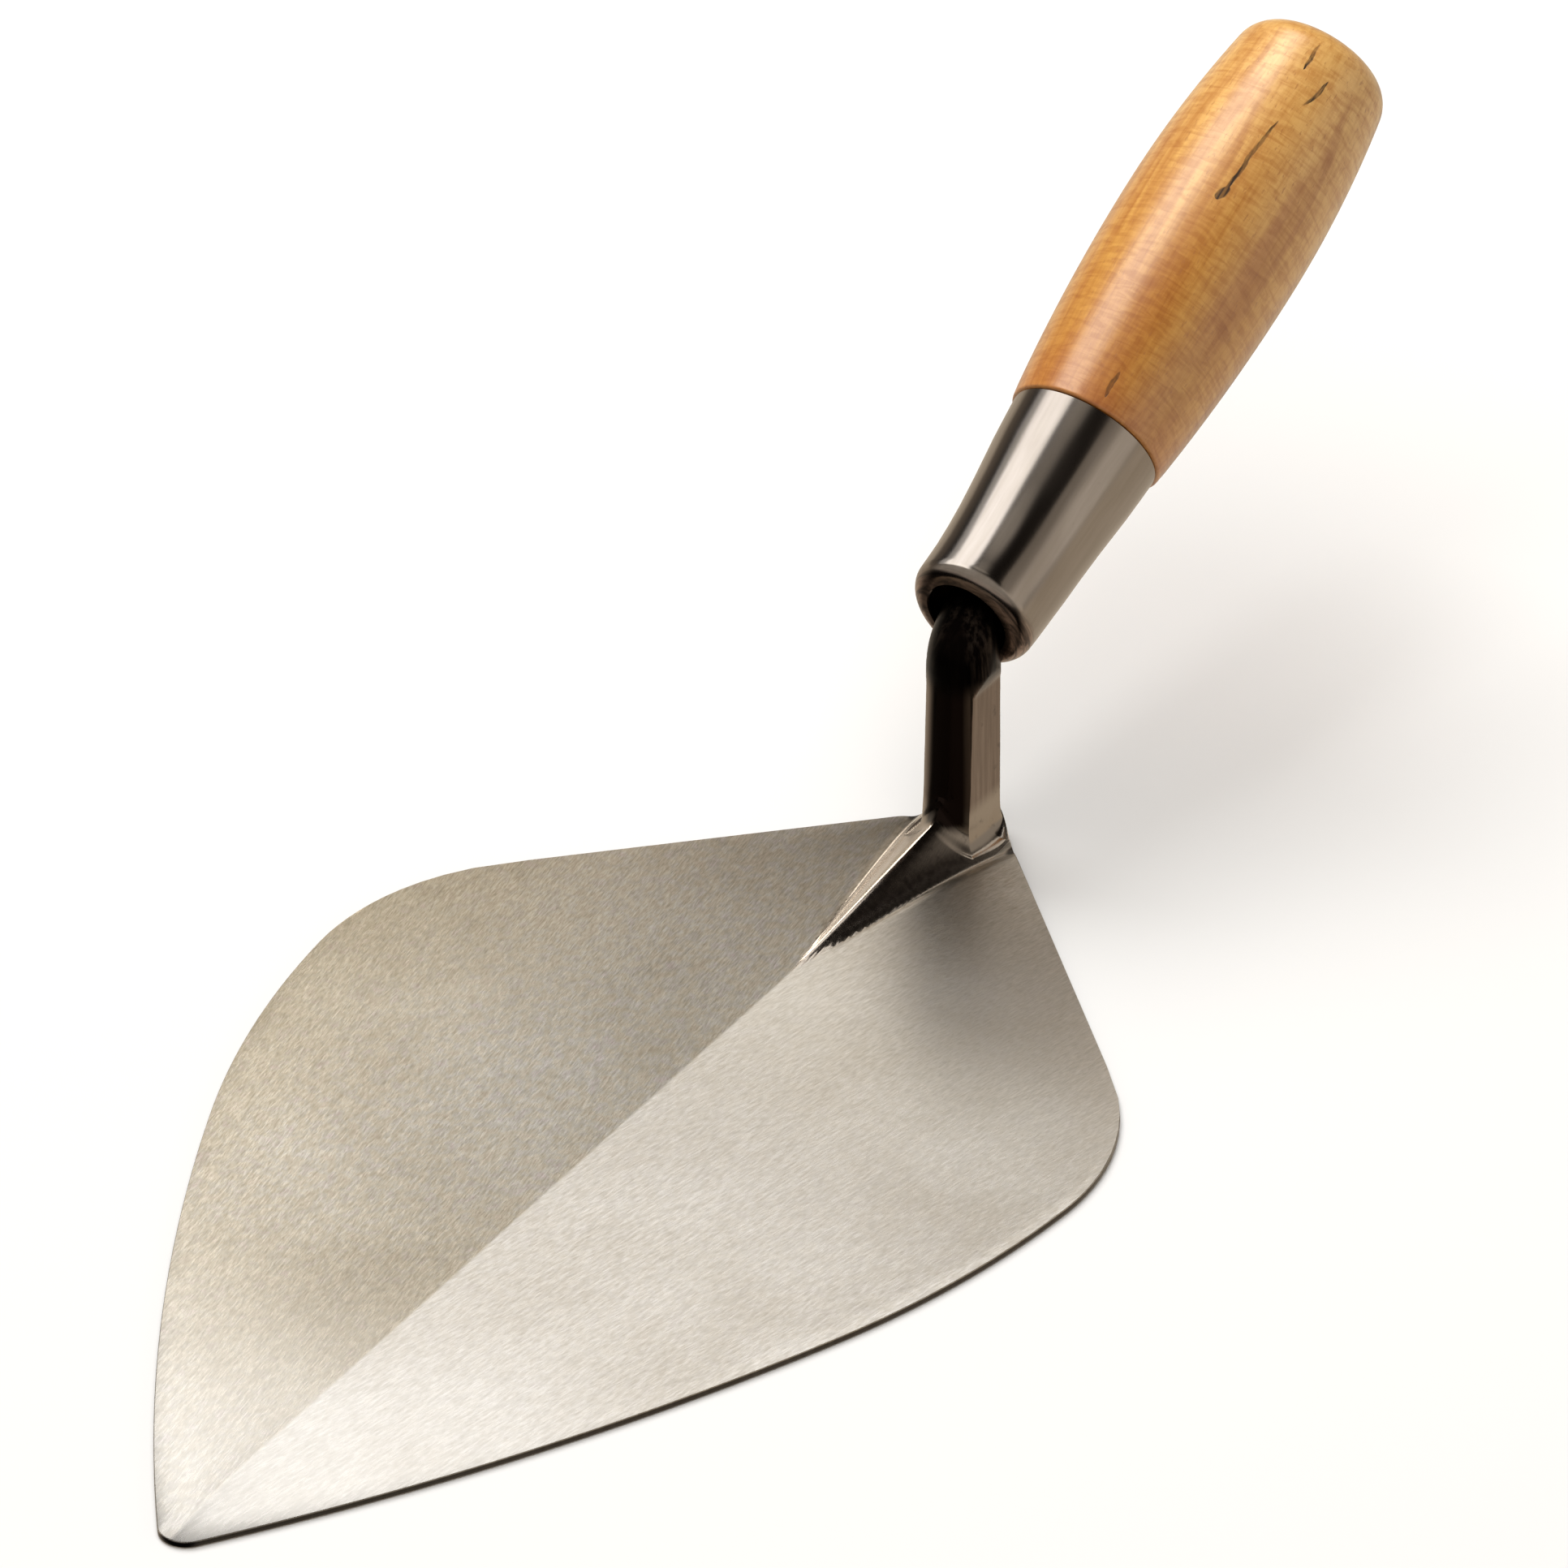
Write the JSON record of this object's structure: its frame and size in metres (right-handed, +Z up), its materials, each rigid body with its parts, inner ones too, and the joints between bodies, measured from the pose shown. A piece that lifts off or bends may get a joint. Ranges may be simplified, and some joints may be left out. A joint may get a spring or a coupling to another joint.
{
  "type": "brick trowel",
  "caption": "Brick trowel with a broad forged steel blade tapering to a rounded tip, a cranked shank, a steel ferrule and a turned wooden grip.",
  "frame": {"origin": "on the flat underside of the blade, below the foot of the shank", "axes": "+X along the blade's centreline to its tip, +Y to the blade's left, +Z up from the underside, on the side of the grip"},
  "size_m": [0.3922, 0.1596, 0.1126],
  "materials": {
    "blade_steel": "taper-ground, fine satin grinding marks along the blade, polished shank",
    "ferrule_steel": "spun and polished steel",
    "grip_wood": "turned maple or birch under clear lacquer"
  },
  "bodies": {
    "root": {"blade_forging": "blade_steel", "ferrule": "ferrule_steel", "wood_handle": "grip_wood"}
  },
  "joints": []
}
